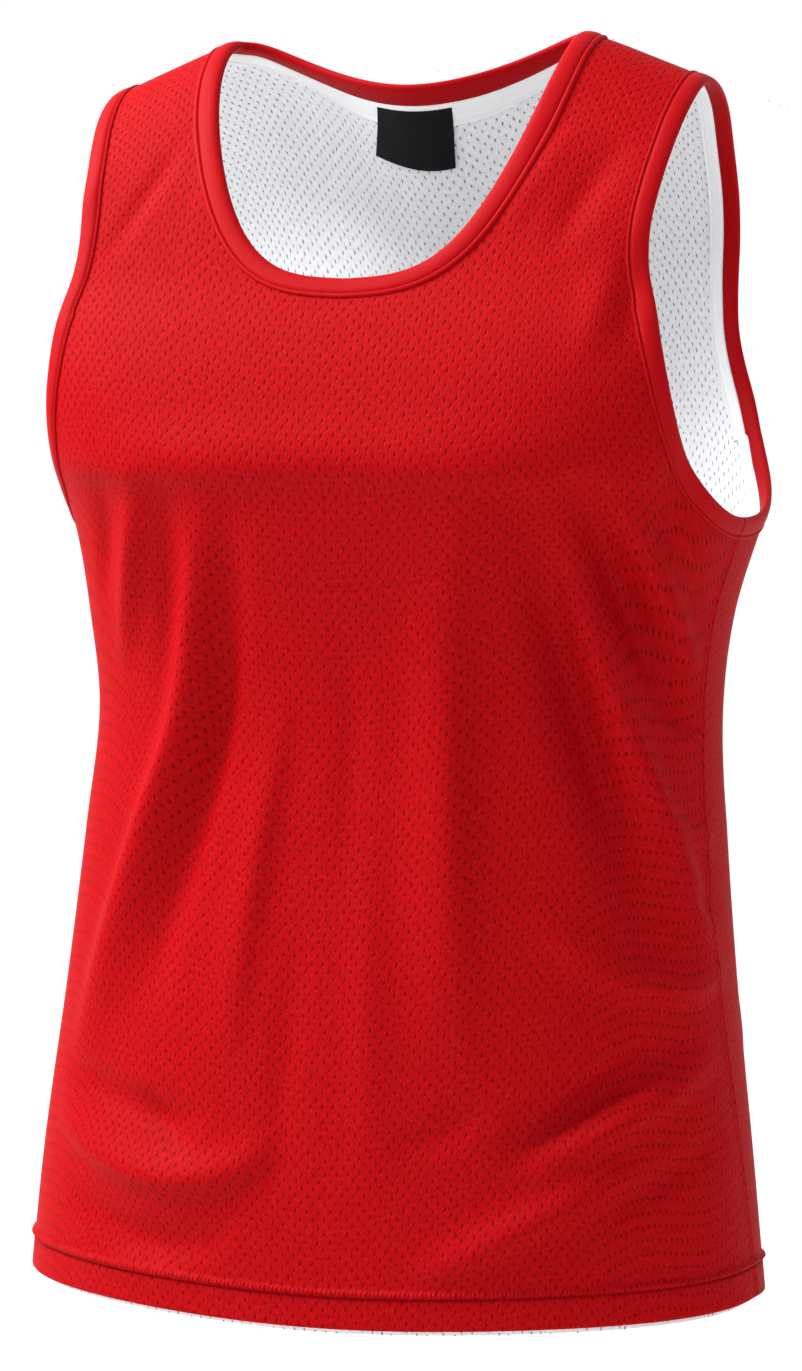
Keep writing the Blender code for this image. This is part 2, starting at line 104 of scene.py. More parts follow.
panels = {
    "front": {
        "middle": 0,
        "neckHeight": -127,
        "neckPower": 2.7,     # how square the neck is, across and down
        "neckDepth": 3.0,
        "neckRound": 1.05,    # how much of the shoulder line's dip its lowest part takes on
        "comesIn": 28.2,      # how far the armhole comes in, and at what drop
        "inDrop": 208,
        "leadIn": 1.3,        # how late it does
        "strapDrop": 110,     # where the strap begins
        "sign": 1,
    },
    "back": {
        "middle": 180,
        "neckHeight": -14.3,
        "neckPower": 2.0,
        "neckDepth": 2.0,
        "neckRound": 0.0,
        "comesIn": 31.5,
        "inDrop": 190,
        "leadIn": 1.0,
        "strapDrop": 50,
        "sign": -1,
    },
}
underarmHeight = -257
girthPerDegree = 2.96
search = {                    # how finely places on the cloth are worked out
    "formRounds": 22,         # settles to a hundredth of a millimetre
    "firstDrop": 50,
    "halvings": 24,
    "lineSamples": 300,
    "probeAngle": 0.2,        # how far to either side a direction is read
    "probeDrop": 0.5,
}

# Folds: from angle and height, to angle and height, sideways bow, width, rise, lean.
# A fold with a negative rise is a trough; lean makes one flank broader than the other.
mainFolds = [
    (-30, -230, -67, -585, 6, 14, 12.5, -0.2),    # the long one on the front, at the wearer's right
    (-24, -230, -50, -545, 4, 13, -9.0, 0),
    (-44, -222, -63, -345, 0, 8, 6.0, 0),
    (-38, -225, -52, -360, 0, 8, -4.0, 0),
    (-17, -340, -28, -570, 0, 16, 4.5, 0.3),
    (30, -224, 37, -575, 0, 21, 8.5, 0.3),
    (38, -230, 73, -525, -16, 12, -14.5, 0.2),
    (50, -255, 85, -512, -4, 8, 9.5, 0),
    (47, -228, 82, -385, -2, 10, -14.0, 0),
    (55, -234, 82, -345, 0, 7, 8.5, 0),
    (-70, -560, -30, -592, 8, 10, -5.0, 0),
    (-72, -590, -8, -598, 30, 11, 9.5, -0.3),
    (-66, -632, -20, -648, 18, 11, -6.0, 0),
    (50, -465, 90, -505, 24, 9, 7.0, 0),
    (44, -606, 78, -532, 0, 9, -11.0, 0),
    (48, -616, 84, -544, 0, 8, 7.0, 0),
    (26, -672, 72, -596, 6, 10, 7.5, -0.2),
    (118, -340, 134, -640, 0, 16, 8.0, 0),
    (150, -200, 139, -450, 0, 17, 7.0, 0.2),
    (181, -280, 178, -600, 0, 22, -6.5, 0),
    (211, -210, 224, -460, 0, 16, 7.5, 0),
    (243, -330, 228, -650, 0, 15, 8.5, -0.2),
    (152, -395, 212, -410, 14, 11, 5.5, 0.3),
    (258, -290, 262, -470, 0, 10, -5.5, 0),
    (104, -300, 101, -430, 0, 10, -5.5, 0),
]
smallFolds = [
    (-72, -228, 14, -226, 2, 15, 5.5, -0.4),     # the shelf of the chest
    (-14, -226, 72, -232, 2, 15, 5.5, -0.4),
    (-52, -228, -66, -310, 0, 6, -3.0, 0),
    (64, -178, 68, -290, -4, 13, -6.5, 0),
    (-58, -40, -60, -118, 0, 4.5, -1.8, 0),
    (-66, -52, -70, -150, 0, 6, 1.8, 0),
    (52, -118, 66, -46, 0, 6, -3.0, 0),
    (45, -105, 62, -38, 0, 6, 2.0, 0),
    (56, -172, 66, -98, 0, 6, -3.0, 0),
    (50, -178, 62, -110, 0, 7, 2.2, 0),
    (64, -300, 82, -322, 6, 5, -2.5, 0),
    (70, -352, 84, -372, 4, 5, -2.2, 0),
    (74, -420, 88, -432, 4, 5, 2.2, 0),
    (76, -455, 90, -474, 4, 5, -2.5, 0),
    (-50, -575, -34, -612, 0, 7, -3.0, 0),
    (-8, -470, -12, -640, 0, 14, -2.0, 0),
    (12, -420, 16, -640, 0, 16, 2.2, 0),
    (4, -300, 6, -470, 0, 14, -1.8, 0),
    (58, -640, 84, -590, 0, 7, -3.5, 0),
    (20, -600, 44, -570, 6, 9, -2.5, 0),
    (-64, -672, -30, -680, 0, 7, 1.5, 0),
    (130, -250, 146, -330, 0, 8, -3.0, 0),
    (158, -430, 150, -560, 0, 12, -3.0, 0),
    (196, -200, 206, -330, 0, 12, -3.0, 0),
    (166, -140, 160, -250, 0, 12, 2.4, 0),
    (214, -520, 202, -650, 0, 12, 3.2, 0),
    (228, -250, 238, -360, 0, 8, 3.0, 0),
    (120, -560, 156, -600, 12, 10, -3.5, 0),
    (206, -590, 246, -560, -10, 10, -3.5, 0),
    (100, -520, 112, -610, 0, 9, 3.0, 0),
    (266, -540, 256, -640, 0, 9, 3.0, 0),
    (186, -90, 194, -170, 0, 10, -1.8, 0),
    (124, -90, 118, -190, 0, 9, -2.2, 0),
    (238, -84, 244, -185, 0, 9, -2.2, 0),
]

levelRows = np.array(bodyLevels, dtype=float)
fineHeights = np.linspace(levelRows[0, 0], levelRows[-1, 0], int(np.ptp(levelRows[:, 0])) + 1) * mm


def smoothColumn(column):
    heights = levelRows[:, 0] * mm
    values = levelRows[:, column]
    before = np.maximum(np.arange(len(heights)) - 1, 0)
    after = np.minimum(np.arange(len(heights)) + 1, len(heights) - 1)
    slopes = (values[after] - values[before]) / (heights[after] - heights[before])
    low = np.clip(np.searchsorted(heights, fineHeights) - 1, 0, len(heights) - 2)
    span = heights[low + 1] - heights[low]
    s = (fineHeights - heights[low]) / span
    return (values[low] * (2 * s**3 - 3 * s**2 + 1) + slopes[low] * span * (s**3 - 2 * s**2 + s)
            + values[low + 1] * (3 * s**2 - 2 * s**3) + slopes[low + 1] * span * (s**3 - s**2))


fineLevels = {name: smoothColumn(column) for column, name in
              enumerate(("halfWidth", "front", "back", "square", "sway", "seam", "nape"), start=1)}


def levelAt(name, height):
    return np.interp(height, fineHeights, fineLevels[name])


def sectionAt(angle, height):
    side = np.sin(np.radians(angle))
    ahead = np.cos(np.radians(angle))
    depth = np.where(ahead > 0, levelAt("front", height), levelAt("back", height)) * mm
    power = levelAt("square", height)
    width = levelAt("halfWidth", height) * mm
    reach = (abs(side / width) ** power + abs(ahead / depth) ** power) ** (-1 / power)
    return reach * side, reach * ahead


def ridgeHeight(x):
    neckHalf = shoulders["neckHalf"] * mm
    slope = ((shoulders["tipHeight"] - shoulders["neckHeight"])
             / (shoulders["tipHalf"] - shoulders["neckHalf"]))
    out = abs(x) - neckHalf
    s = np.minimum(abs(x) / neckHalf, 1)
    dip = (shoulders["middleHeight"] * mm * (2 * s**3 - 3 * s**2 + 1)
           + shoulders["neckHeight"] * mm * (3 * s**2 - 2 * s**3) + slope * neckHalf * (s**3 - s**2))
    return np.where(out > 0, shoulders["neckHeight"] * mm + slope * out, dip) - shoulders["leftLower"] * x


def neckSag(x, drop):
    softness = shoulders["sagSoftness"]
    s = abs(x) / mm / shoulders["neckHalf"]
    inside = softness * np.log1p(np.exp(np.clip((1 - s) / softness, -30, 30)))  # fades out at the neck point
    fade = np.clip((shoulders["sagTo"] - drop / mm) / (shoulders["sagTo"] - shoulders["sagFrom"]), 0, 1)
    return shoulders["sag"] * mm * s**2 * inside * fade**2 * (3 - 2 * fade)


def roundingAt(x):
    strap = shoulders["tipHalf"] - shoulders["neckHalf"]
    out = np.clip((abs(x) / mm - shoulders["neckHalf"]) / strap, 0, 1)
    return (shoulders["neckRounding"] + (shoulders["tipRounding"] - shoulders["neckRounding"]) * out) * mm


def smoothForm(angle, drop):
    angle, drop = np.broadcast_arrays(np.asarray(angle, float), np.asarray(drop, float))
    height = -np.maximum(drop - search["firstDrop"] * mm, 0)
    for step in range(search["formRounds"]):
        x, ahead = sectionAt(angle, height)
        radius = roundingAt(x)
        turn = np.clip(drop / radius, -math.pi / 2, math.pi / 2)
        fall = radius * (1 - np.cos(turn)) + np.maximum(drop - radius * math.pi / 2, 0)
        height = 0.5 * height + 0.5 * (ridgeHeight(x) - neckSag(x, drop) - fall)
    s = np.clip(drop / (shoulders["napeDrop"] * mm), 0, 1)
    nape = levelAt("nape", height) * mm * np.exp(-((x / (shoulders["napeHalf"] * mm)) ** 2))
    nape = nape * s * s * (3 - 2 * s)
    y = shoulders["ridgeBack"] * mm - ahead * np.sin(turn) - np.where(ahead < 0, nape, 0)
    return np.stack([x + levelAt("sway", height) * mm, y, height], axis=-1)


def dropAt(angle, height):
    x = sectionAt(angle, height)[0]
    radius = roundingAt(x)
    fall = ridgeHeight(x) - height
    curved = radius * np.arccos(np.clip(1 - fall / radius, -1, 1))
    return np.where(fall < radius, curved, radius * math.pi / 2 + fall - radius)


def directionsAt(angle, drop):  # travel for a degree, travel for a metre of drop, and the outward normal
    turn, slide = search["probeAngle"], search["probeDrop"] * mm
    around = (smoothForm(angle + turn, drop) - smoothForm(angle - turn, drop)) / (2 * turn)
    down = (smoothForm(angle, drop + slide) - smoothForm(angle, drop - slide)) / (2 * slide)
    normal = np.cross(down, around)
    return around, down, normal / np.linalg.norm(normal, axis=-1, keepdims=True)


def foldRise(angle, height):
    total = np.zeros(np.shape(height))
    for fromAngle, fromHeight, toAngle, toHeight, bow, width, rise, lean in mainFolds + smallFolds:
        run = (toAngle - fromAngle) * girthPerDegree
        climb = toHeight - fromHeight
        length = math.hypot(run, climb)
        across = ((angle - fromAngle + 180) % 360 - 180) * girthPerDegree
        up = height / mm - fromHeight
        along = (across * run + up * climb) / length**2
        bell = 4 * along * (1 - along)
        aside = (across * climb - up * run) / length - bow * bell
        reach = width * np.where(aside > 0, 1 + lean, 1 - lean)
        total += rise * np.maximum(bell, 0) ** 1.5 * np.exp(-((aside / reach) ** 2))
    return total * mm


def clothPoints(angle, drop, offset):
    base = smoothForm(angle, drop)
    normal = directionsAt(angle, drop)[2]
    return base + normal * (foldRise(angle, base[..., 2]) + offset)[..., None]


# The sewn edges, as lines of (angle, drop).

def angleAt(x, drop, middle):
    low = np.full(np.shape(x), float(middle))
    high = np.full(np.shape(x), 90.0)
    for step in range(search["halvings"]):
        half = (low + high) / 2
        short = smoothForm(half, drop)[..., 0] < x
        low = np.where(short, half, low)
        high = np.where(short, high, half)
    return (low + high) / 2


def neckLine(panel):  # from the shoulder to the middle of the panel, on the wearer's left
    lowest = float(dropAt(panel["middle"], panel["neckHeight"] * mm))
    turn = np.linspace(0, math.pi / 2, search["lineSamples"])
    drop = lowest * np.sin(turn) ** (2 / panel["neckDepth"])
    x = shoulders["neckHalf"] * mm * abs(np.cos(turn)) ** (2 / panel["neckPower"])
    drop = drop + panel["neckRound"] * (ridgeHeight(x) - ridgeHeight(0 * x)) * np.sin(turn) ** 2
    line = np.stack([angleAt(x, drop, panel["middle"]), drop], axis=1)
    line[-1] = panel["middle"], lowest
    return line


def armholeLine(panel):  # from the side seam up to the shoulder tip, on the wearer's left
    tip = float(angleAt(shoulders["tipHalf"] * mm, 0.0, panel["middle"]))
    seam = float(levelAt("seam", underarmHeight * mm))
    lowest = float(dropAt(seam, underarmHeight * mm))
    inDrop = panel["inDrop"] * mm
    inner = 90 - panel["sign"] * panel["comesIn"]
    turn = np.linspace(math.pi / 2, 0, search["lineSamples"])
    lower = np.stack([seam + (inner - seam) * np.cos(turn),
                      inDrop + (lowest - inDrop) * np.sin(turn)], axis=1)
    part = np.linspace(1, 0, search["lineSamples"])[1:]
    share = (1 - np.cos(math.pi * part ** panel["leadIn"])) / 2
    upper = np.stack([tip + (inner - tip) * share, inDrop * part], axis=1)
    return np.concatenate([lower, upper])


def splitAt(line, drop):
    cut = int(np.argmax(line[:, 1] < drop))
    return line[:cut + 1], line[cut:]


def lengthAlong(line):
    places = smoothForm(line[:, 0], line[:, 1])
    return np.concatenate([[0], np.cumsum(np.linalg.norm(np.diff(places, axis=0), axis=1))])


def placedAlong(line, shares):
    walked = lengthAlong(line)
    stops = np.asarray(shares) * walked[-1]
    return np.stack([np.interp(stops, walked, line[:, k]) for k in (0, 1)], axis=1)


def mirroredLine(line, panel):
    return np.stack([2 * panel["middle"] - line[:, 0], line[:, 1]], axis=1)


def insetSteps(line, side):  # change of (angle, drop) for each metre square to a line, into the cloth
    around, down, normal = directionsAt(line[:, 0], line[:, 1])
    places = smoothForm(line[:, 0], line[:, 1])
    inward = np.cross(normal, np.gradient(places, axis=0)) * side
    inward /= np.linalg.norm(inward, axis=1, keepdims=True)
    aa, ad, dd = (np.sum(p * q, axis=1) for p, q in ((around, around), (around, down), (down, down)))
    wa, wd = np.sum(inward * around, axis=1), np.sum(inward * down, axis=1)
    steps = np.stack([wa * dd - wd * ad, wd * aa - wa * ad], axis=1) / (aa * dd - ad**2)[:, None]
    for end in (0, -1):
        if line[end, 1] < mm:  # on the shoulder line it goes sideways, and else straight down
            steps[end] = math.copysign(1, steps[end, 0]) / math.sqrt(aa[end]), 0
        else:
            steps[end] = 0, 1 / math.sqrt(dd[end])
    return steps


def evenShares(cells, length, edgeSteps=(), bothEnds=False):
    steps = np.asarray(edgeSteps) / length
    count = cells - len(steps) * (2 if bothEnds else 1)
    start = steps[-1] if len(steps) else 0.0
    middle = np.linspace(start, 1 - start if bothEnds else 1, count + 1)
    parts = [[0.0], steps[:-1], middle] if len(steps) else [middle]
    if bothEnds:
        parts += [1 - steps[:-1][::-1], [1.0]]
    return np.concatenate(parts)


# The panels.

mesh = {
    "strapColumns": 30,
    "neckColumns": 92,
    "sideRowHeight": 3.0,
    "armholeRows": 62,
    "strapRows": 36,
    "hemRows": (0, 0.6, 1.3, 2.2, 3.6, 5.5, 8, 10.5, 13, 14.8, 15.8, 16.5, 17.2, 17.9, 18.6, 19.3, 20.0, 20.7,
                21.5, 22.6, 24.2, 26.5),
    "seamSteps": (0.45, 1.0, 1.7, 2.6, 3.8, 5.4),
    "turnedUp": ((0.5, -1.0), (3, -0.85), (10, -0.7), (17, -0.7)),   # the hem behind: height and offset
    "hemSamples": 361,
    "footSamples": 21,
    "clothWall": 0.55,
    "mergeWithin": 0.02,
    "outerOffset": 0.1,
    "innerOffset": -1.9,
    "innerShare": 0.6,        # how much of the seam and hem shape the white layer takes on
    "underBinding": 3.0,      # how far inside the cut edge the panels stop
    "seamGap": 0.15,          # and how far short of the side seam
}


def hemHeight(angle):
    toward = np.cos(np.radians(angle))
    return (hem["sideHeight"] - np.where(toward > 0, hem["frontFall"], hem["backFall"]) * abs(toward)) * mm


def blendPatch(bottom, top, left, right):  # rows of points between four lines, bottom row first
    u = lengthAlong(bottom) / lengthAlong(bottom)[-1]
    v = lengthAlong(left) / lengthAlong(left)[-1]
    u, v = u[None, :, None], v[:, None, None]
    ruled = (1 - v) * bottom[None] + v * top[None] + (1 - u) * left[:, None] + u * right[:, None]
    corners = (1 - v) * ((1 - u) * bottom[0] + u * bottom[-1]) + v * ((1 - u) * top[0] + u * top[-1])
    return ruled - corners


def panelEdges(panel, border):
    lower, upper = splitAt(armholeLine(panel), panel["strapDrop"] * mm)
    lower = placedAlong(lower, np.linspace(0, 1, mesh["armholeRows"] + 1))
    upper = placedAlong(upper, np.linspace(0, 1, mesh["strapRows"] + 1))
    armhole = np.concatenate([lower, upper[1:]])
    neckCells = mesh["strapRows"] + mesh["neckColumns"] // 2
    neck = neckLine(panel)
    neck = placedAlong(neck, np.linspace(0, 1, neckCells + 1))
    armhole = armhole + insetSteps(armhole, panel["sign"]) * border * mm
    neck = neck + insetSteps(neck, panel["sign"]) * border * mm
    for line in (armhole, neck):
        line[:, 1] = np.maximum(line[:, 1], 0.2 * mm)
    return armhole, neck


def panelGrids(panel, hemExtra):
    armhole, neck = panelEdges(panel, mesh["underBinding"])
    rows, strapRows = mesh["armholeRows"], mesh["strapRows"]
    lowArmhole, highArmhole = armhole[:rows + 1], armhole[rows:]
    sideNeck, lowNeck = neck[:strapRows + 1], neck[strapRows:]
    top = float(smoothForm(*armhole[0])[2])
    bottom = hem["sideHeight"] * mm - hemExtra * mm
    fine = bottom + np.array(mesh["hemRows"]) * mm
    plain = np.linspace(fine[-1], top, int((top - fine[-1]) / mesh["sideRowHeight"] / mm) + 1)[1:]
    heights = np.concatenate([fine, plain])
    seamAngles = levelAt("seam", heights) - panel["sign"] * mesh["seamGap"] / girthPerDegree
    side = np.stack([seamAngles, dropAt(seamAngles, heights)], axis=1)
    side[-1] = armhole[0]
    columns = 2 * mesh["strapColumns"] + mesh["neckColumns"]
    hemAngles = np.linspace(2 * panel["middle"] - side[0, 0], side[0, 0], mesh["hemSamples"])
    hemEdge = np.stack([hemAngles, dropAt(hemAngles, hemHeight(hemAngles) - hemExtra * mm)], axis=1)
    hemLength = lengthAlong(hemEdge)[-1] / mm
    hemEdge = placedAlong(hemEdge, evenShares(columns, hemLength, mesh["seamSteps"], bothEnds=True))
    hemEdge[0], hemEdge[-1] = mirroredLine(side[:1], panel)[0], side[0]
    foot = np.linspace(lowArmhole[-1], lowNeck[0], mesh["footSamples"])
    footLength = lengthAlong(foot)[-1] / mm
    foot = placedAlong(foot, evenShares(mesh["strapColumns"], footLength, mesh["seamSteps"]))[::-1]
    topLine = np.concatenate([mirroredLine(foot, panel)[::-1], mirroredLine(lowNeck, panel)[1:],
                              lowNeck[::-1][1:], foot[1:]])
    right = np.concatenate([side, lowArmhole[1:]])
    body = blendPatch(hemEdge, topLine, mirroredLine(right, panel), right)
    shoulder = np.linspace(highArmhole[-1], sideNeck[0], mesh["footSamples"])
    shoulder = placedAlong(shoulder, evenShares(mesh["strapColumns"], footLength, mesh["seamSteps"]))[::-1]
    strap = blendPatch(foot, shoulder, sideNeck[::-1], highArmhole)
    otherStrap = strap[:, ::-1].copy()
    otherStrap[..., 0] = 2 * panel["middle"] - otherStrap[..., 0]
    return [body, strap, otherStrap]


weaveGrid = {"halfAngle": 105, "angles": 127, "length": 0.80, "drops": 161}   # length in metres


def weaveTables(panel):  # cloth length across from the middle of the panel, and down from the shoulder
    side = weaveGrid["halfAngle"]
    angles = panel["middle"] + np.linspace(-side, side, weaveGrid["angles"])
    drops = np.linspace(0, weaveGrid["length"], weaveGrid["drops"])
    places = smoothForm(angles[:, None], drops[None, :])
    across = np.cumsum(np.linalg.norm(np.diff(places, axis=0), axis=2), axis=0)
    across = np.concatenate([np.zeros((1, len(drops))), across])
    down = np.cumsum(np.linalg.norm(np.diff(places, axis=1), axis=2), axis=1)
    down = np.concatenate([np.zeros((len(angles), 1)), down], axis=1)
    return (angles, drops, across - across[len(angles) // 2]), (angles, drops, -down)


def readTable(table, angle, drop):
    angles, drops, values = table
    i = np.clip((angle - angles[0]) / (angles[1] - angles[0]), 0, len(angles) - 1.001)
    j = np.clip(drop / drops[1], 0, len(drops) - 1.001)
    i0, j0 = i.astype(int), j.astype(int)
    p, q = i - i0, j - j0
    return ((values[i0, j0] * (1 - q) + values[i0, j0 + 1] * q) * (1 - p)
            + (values[i0 + 1, j0] * (1 - q) + values[i0 + 1, j0 + 1] * q) * p)


def bump(distance, width):
    return np.exp(-((distance / width) ** 2))


seams = {
    "grooveDepth": 1.1,
    "grooveWidth": 0.8,
    "ridgeRise": 0.45,        # over the turned edges, which are pressed to the front
    "ridgeAt": 2.2,
    "ridgeWidth": 1.1,
    "aboveUnderarm": 4,       # where the side seam stops
    "farAway": 99,
}


def seamRise(angle, height, drop, around, panel):  # how the panel turns in at its side and shoulder seams
    perDegree = np.linalg.norm(around, axis=-1) / mm
    seam = levelAt("seam", height)
    toSeam = np.minimum(abs(angle - seam), abs(angle - (2 * panel["middle"] - seam))) * perDegree
    toSeam = np.where(height < (underarmHeight + seams["aboveUnderarm"]) * mm, toSeam, seams["farAway"])
    toSeam = np.minimum(toSeam, np.maximum(drop, 0) / mm)
    rise = -seams["grooveDepth"] * bump(toSeam, seams["grooveWidth"])
    if panel["sign"] > 0:
        rise = rise + seams["ridgeRise"] * bump(toSeam - seams["ridgeAt"], seams["ridgeWidth"])
    return rise


def hemRise(upFromEdge):
    ridgeAt = hem["depth"] + hem["ridgeAbove"] + hem["ridgeWidth"] / 2
    rise = hem["ridgeRise"] * bump(upFromEdge - ridgeAt, hem["ridgeWidth"] / 2.2)
    rise = rise - hem["grooveDepth"] * bump(upFromEdge - hem["depth"], hem["grooveWidth"])
    rise = rise + np.where(upFromEdge < hem["depth"], hem["doubled"], 0)
    under = np.clip(1 - upFromEdge / hem["edgeRound"], 0, 1)
    return rise - hem["edgeUnder"] * (1 - np.sqrt(1 - under**2))


def gridSheet(name, points, weave, fromHem=None):  # a grid laid on rows and columns of points
    rows, columns = points.shape[0] - 1, points.shape[1] - 1
    bpy.ops.mesh.primitive_grid_add(x_subdivisions=columns, y_subdivisions=rows, size=1)
    sheet = bpy.context.object
    sheet.name = name
    flat = np.empty(len(sheet.data.vertices) * 3)
    sheet.data.vertices.foreach_get("co", flat)
    flat = flat.reshape(-1, 3)
    column = np.rint((flat[:, 0] + 0.5) * columns).astype(int)
    row = np.rint((flat[:, 1] + 0.5) * rows).astype(int)
    sheet.data.vertices.foreach_set("co", points[row, column].ravel())
    corner = np.empty(len(sheet.data.loops), dtype=np.int32)
    sheet.data.loops.foreach_get("vertex_index", corner)
    sheet.data.uv_layers[0].data.foreach_set("uv", weave[row, column][corner].ravel())
    if fromHem is not None:
        sheet.data.attributes.new("fromHem", "FLOAT", "POINT").data.foreach_set("value", fromHem[row, column])
    sheet.data.update()
    sheet.select_set(False)
    return sheet


def joinPieces(name, parts):
    bpy.ops.object.select_all(action="DESELECT")
    for part in parts:
        part.select_set(True)
    bpy.context.view_layer.objects.active = parts[0]
    if len(parts) > 1:
        bpy.ops.object.join()
    joined = bpy.context.object
    joined.name = name
    joined.data.name = name
    return joined


def mergeDoubles(piece):
    bpy.ops.object.select_all(action="DESELECT")
    piece.select_set(True)
    bpy.context.view_layer.objects.active = piece
    bpy.ops.object.mode_set(mode="EDIT")
    bpy.ops.mesh.select_all(action="SELECT")
    bpy.ops.mesh.remove_doubles(threshold=mesh["mergeWithin"] * mm)
    bpy.ops.object.mode_set(mode="OBJECT")


def giveWall(piece, thickness, offset=0.0, smoothAngle=50):
    bpy.ops.object.select_all(action="DESELECT")
    piece.select_set(True)
    bpy.context.view_layer.objects.active = piece
    wall = piece.modifiers.new("wall", "SOLIDIFY")
    wall.thickness = thickness * mm
    wall.offset = offset
    bpy.ops.object.modifier_apply(modifier=wall.name)
    bpy.ops.object.shade_smooth_by_angle(angle=math.radians(smoothAngle))
    piece.select_set(False)


def makePanel(name, panel, inner):
    hemExtra = hem["innerExtra"] if inner else 0
    tables = weaveTables(panel)
    parts = []
    for k, grid in enumerate(panelGrids(panel, hemExtra)):
        angle, drop = grid[..., 0], grid[..., 1]
        base = smoothForm(angle, drop)
        around, down, normal = directionsAt(angle, drop)
        height = base[..., 2]
        upFromEdge = (height - hemHeight(angle)) / mm + hemExtra
        shape = hemRise(upFromEdge) + seamRise(angle, height, drop, around, panel)
        if inner:
            hangsBack = hem["innerBack"] * np.clip(1 - upFromEdge / hem["innerFade"], 0, 1) ** 2
            offset = mesh["innerOffset"] - shape * mesh["innerShare"] - hangsBack
        else:
            offset = mesh["outerOffset"] + shape
        points = base + normal * (foldRise(angle, height) + offset * mm)[..., None]
        weave = np.stack([readTable(table, angle, drop) for table in tables], axis=-1)
        if k == 0:  # the hem is turned up behind
            turned, turnedWeave = [], []
            for up, back in mesh["turnedUp"][::-1]:
                back = back if not inner else -back
                turned.append(points[0] + normal[0] * back * mm - down[0] * up * mm)
                turnedWeave.append(weave[0] - np.array([0, up * mm]))
            points = np.concatenate([np.stack(turned), points])
            weave = np.concatenate([np.stack(turnedWeave), weave])
            upFromEdge = np.concatenate([np.zeros((len(turned), upFromEdge.shape[1])), upFromEdge])
        parts.append(gridSheet(name, points, weave, upFromEdge))
    piece = joinPieces(name, parts)
    mergeDoubles(piece)
    giveWall(piece, mesh["clothWall"])
    return piece


frontOuter = makePanel("frontOuter", panels["front"], False)
backOuter = makePanel("backOuter", panels["back"], False)
frontInner = makePanel("frontInner", panels["front"], True)
backInner = makePanel("backInner", panels["back"], True)
print("panels made", [len(piece.data.polygons) for piece in (frontOuter, backOuter, frontInner, backInner)])


# Bindings and bands.

# Each profile is a list of (distance in from the cut edge, offset out from the cloth).
binding = {
    "stationStep": 2.6,
    "wall": 0.5,
    "outside": [(11.3, 0.35), (11.4, 0.9), (11.0, 1.3), (10.4, 1.4), (9.8, 1.2), (9.45, 0.65), (9.1, 0.85),
                (8.4, 1.35), (7.2, 1.65), (5.4, 1.8), (3.4, 1.75), (1.6, 1.5), (0.3, 0.95), (-0.5, 0.2),
                (-0.8, -0.7), (-0.6, -1.5)],
    "inside": [(0.1, -2.2), (1.2, -2.7), (3.0, -2.95), (5.2, -2.95), (7.2, -2.8), (8.4, -2.6), (8.9, -2.35)],
    "narrowInside": [(0.0, -2.3), (0.9, -2.7), (1.6, -2.6)],      # the wearer's right armhole rolls less
    "seamGroove": 0.75,
    "grooveWidth": 0.45,
    "seamSlant": 0.22,        # how far the join leans for each millimetre in from the edge
    "foldOffset": -0.8,       # where the outer leaf becomes the inner one
    "edgeSteps": (0.25, 0.55, 0.95, 1.5, 2.3, 3.4, 5.0),
}
band = {
    "wall": 0.4,
    "start": 9.0,
    "narrowStart": 1.6,
    "profile": [(0.0, -2.3), (0.1, -2.75), (0.6, -3.05), (1.6, -3.1), (3.5, -3.0), (5.6, -3.0), (6.6, -2.85),
                (7.0, -2.75), (7.5, -3.25), (8.1, -3.35), (8.7, -3.1), (8.9, -2.6), (8.9, -2.3)],
}


def loopOf(quarters):  # each quarter is (line, side, turned); gives stations and their inset steps
    stations, steps = [], []
    for line, side, turned in quarters:
        own = insetSteps(line, side)
        if turned:
            line, own = line[::-1], own[::-1]
        stations.append(line[:-1])
        steps.append(own[:-1])
    stations, steps = np.concatenate(stations), np.concatenate(steps)
    return np.concatenate([stations, stations[:1]]), np.concatenate([steps, steps[:1]])


def finerAt(line, step, edgeSteps=()):
    length = lengthAlong(line)[-1] / mm
    cells = int(length / step) + len(edgeSteps)
    return placedAlong(line, evenShares(cells, length, edgeSteps))


def neckLoop():
    front = finerAt(neckLine(panels["front"]), binding["stationStep"])
    back = finerAt(neckLine(panels["back"]), binding["stationStep"])
    return loopOf([(front, 1, False), (mirroredLine(front, panels["front"]), -1, True),
                   (mirroredLine(back, panels["back"]), 1, False), (back, -1, True)])


def armholeLoop(left):
    front = finerAt(armholeLine(panels["front"]), binding["stationStep"], binding["edgeSteps"])
    back = finerAt(armholeLine(panels["back"]), binding["stationStep"], binding["edgeSteps"])
    if left:
        return loopOf([(front, 1, False), (back, -1, True)])
    front, back = mirroredLine(front, panels["front"]), mirroredLine(back, panels["back"])
    return loopOf([(front, -1, False), (back, 1, True)])


def sweptTape(name, loop, profile, wall, seamGroove=0.0, turned=False):
    stations, steps = loop
    walked = lengthAlong(stations) / mm
    fromSeam = np.where(walked < walked[-1] / 2, walked, walked - walked[-1])
    across = np.concatenate([[0], np.cumsum([math.dist(a, b) for a, b in zip(profile, profile[1:])])])
    rows, weave = [], []
    for (inward, offset), v in zip(profile, across):
        places = stations + steps * inward * mm
        groove = seamGroove * bump(fromSeam - binding["seamSlant"] * inward, binding["grooveWidth"])
        out = offset - math.copysign(1, offset - binding["foldOffset"]) * groove
        rows.append(clothPoints(places[:, 0], places[:, 1], out * mm))
        weave.append(np.stack([walked * mm, np.full(len(walked), v * mm)], axis=1))
    points, weave = np.stack(rows), np.stack(weave)
    if turned:
        points, weave = points[::-1], weave[::-1]
    tape = gridSheet(name, points, weave)
    mergeDoubles(tape)
    giveWall(tape, wall, -1.0, 60)
    return tape


